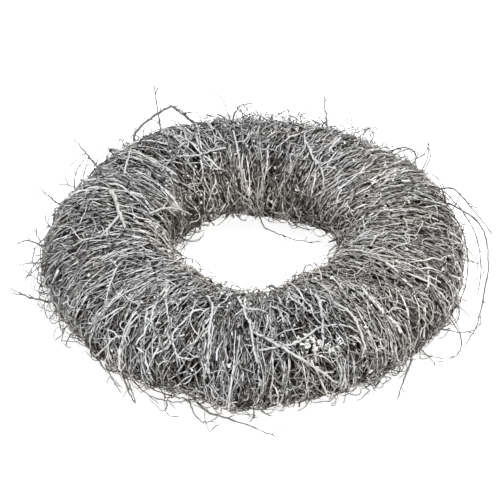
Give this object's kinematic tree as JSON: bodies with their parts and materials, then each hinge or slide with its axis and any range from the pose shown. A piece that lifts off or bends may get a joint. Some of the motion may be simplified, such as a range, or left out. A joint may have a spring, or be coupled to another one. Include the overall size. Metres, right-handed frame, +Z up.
{
  "type": "brushwood wreath base",
  "caption": "Round wreath base of whitewashed fine twigs wound round a packed stick core on a wire ring, lying flat, with a round opening in the middle and loose twig ends.",
  "frame": {"origin": "centre of the ring at table height", "axes": "+Z up through the opening; the table is the plane Z = 0; -Y is the side nearest the viewer in the source picture"},
  "size_m": [0.4536, 0.4289, 0.1072],
  "materials": {
    "whitewashed_twig": "matt, white dusting over grey-brown bark",
    "core_sticks": "matt, bare grey-brown bark",
    "ring_wire": "drawn, galvanised",
    "binding_wire": "annealed, dark"
  },
  "bodies": {
    "root": {"wrap_bundle_01": "whitewashed_twig", "wrap_bundle_02": "whitewashed_twig", "wrap_bundle_03": "whitewashed_twig", "wrap_bundle_04": "whitewashed_twig", "wrap_bundle_05": "whitewashed_twig", "wrap_bundle_06": "whitewashed_twig", "wrap_bundle_07": "whitewashed_twig", "wrap_bundle_08": "whitewashed_twig", "wrap_bundle_09": "whitewashed_twig", "wrap_bundle_10": "whitewashed_twig", "wrap_bundle_11": "whitewashed_twig", "wrap_bundle_12": "whitewashed_twig", "wrap_bundle_13": "whitewashed_twig", "wrap_bundle_14": "whitewashed_twig", "wrap_bundle_15": "whitewashed_twig", "wrap_bundle_16": "whitewashed_twig", "loose_twig_left_thick": "whitewashed_twig", "loose_twig_left_upper": "whitewashed_twig", "loose_twig_left_middle": "whitewashed_twig", "loose_twig_left_lower": "whitewashed_twig", "loose_twig_back_tall": "whitewashed_twig", "loose_twig_back_arch": "whitewashed_twig", "loose_twig_back_right": "whitewashed_twig", "loose_twig_back_end": "whitewashed_twig", "loose_twig_right_hook": "whitewashed_twig", "loose_twig_right_whip": "whitewashed_twig", "loose_twig_right_kink": "whitewashed_twig", "loose_twig_front_right": "whitewashed_twig", "loose_twig_front_long": "whitewashed_twig", "loose_twig_front_left": "whitewashed_twig", "loose_twig_inner_whip": "whitewashed_twig", "surface_twig_left": "whitewashed_twig", "surface_twig_left_arc": "whitewashed_twig", "surface_twig_front_long": "whitewashed_twig", "surface_twig_front_curl": "whitewashed_twig", "surface_twig_front_right": "whitewashed_twig", "core_bundle_1": "core_sticks", "core_bundle_2": "core_sticks", "core_bundle_3": "core_sticks", "core_bundle_4": "core_sticks", "core_bundle_5": "core_sticks", "core_bundle_6": "core_sticks", "core_bundle_7": "core_sticks", "core_bundle_8": "core_sticks", "hoop_inner": "ring_wire", "hoop_outer": "ring_wire", "cross_bar_1": "ring_wire", "cross_bar_2": "ring_wire", "cross_bar_3": "ring_wire", "cross_bar_4": "ring_wire", "cross_bar_5": "ring_wire", "cross_bar_6": "ring_wire", "cross_bar_7": "ring_wire", "cross_bar_8": "ring_wire", "binding_wire_loops": "binding_wire"}
  },
  "joints": []
}
